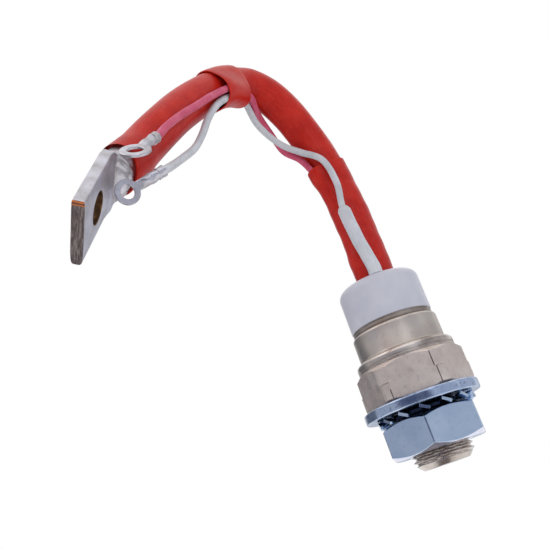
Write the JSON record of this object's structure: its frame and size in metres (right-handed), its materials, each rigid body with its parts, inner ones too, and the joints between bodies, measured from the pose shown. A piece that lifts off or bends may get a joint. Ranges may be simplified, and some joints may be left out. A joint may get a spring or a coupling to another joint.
{
  "type": "stud-mounted thyristor",
  "caption": "Power thyristor with a hexagonal stud base, washers, nut, ceramic cap, a looped red cathode lead with a flat lug, and thin control wires.",
  "frame": {"origin": "middle of the seat that is pressed on the heatsink, on the stud's axis", "axes": "+Z along the axis from the stud to the ceramic cap; the lead loops towards -Y, where the picture was taken from"},
  "size_m": [0.083, 0.1172, 0.1442],
  "materials": {
    "copper_nickel": "satin nickel over copper",
    "zinc": "bright zinc plate",
    "ceramic": "glazed alumina",
    "braze": "brazed nickel-iron",
    "steel": "sheet steel",
    "molybdenum": "lapped",
    "silicon": "polished wafer",
    "silver": "silver plate",
    "copper": "bare copper",
    "tin": "tinned copper",
    "ptfe": "moulded",
    "red_silicone": "extruded silicone",
    "white_insulation": "extruded silicone",
    "pink_insulation": "extruded silicone"
  },
  "bodies": {
    "root": {"stud_base": "copper_nickel", "weld_ring": "copper_nickel", "case_sleeve": "copper_nickel", "seal_ring": "braze", "ceramic_cap": "ceramic", "cathode_tube": "copper_nickel", "gate_tube": "copper_nickel", "flat_washer": "zinc", "lock_washer": "zinc", "hex_nut": "zinc", "clamp_cup": "steel", "centring_ring": "ptfe", "anode_plate": "molybdenum", "silicon_wafer": "silicon", "cathode_contact_disc": "silver", "cathode_post": "copper", "insulating_washer": "ptfe", "pressure_washer": "steel", "disc_springs": "steel", "retaining_ring": "steel", "gate_pin": "silver", "gate_insulator": "ptfe", "cathode_rope": "copper", "long_sleeve": "red_silicone", "short_sleeve": "red_silicone", "lead_collar": "red_silicone", "cathode_lug": "tin", "gate_lead": "white_insulation", "gate_shrink": "white_insulation", "aux_lead": "pink_insulation", "gate_terminal": "tin", "aux_terminal": "tin"}
  },
  "joints": []
}
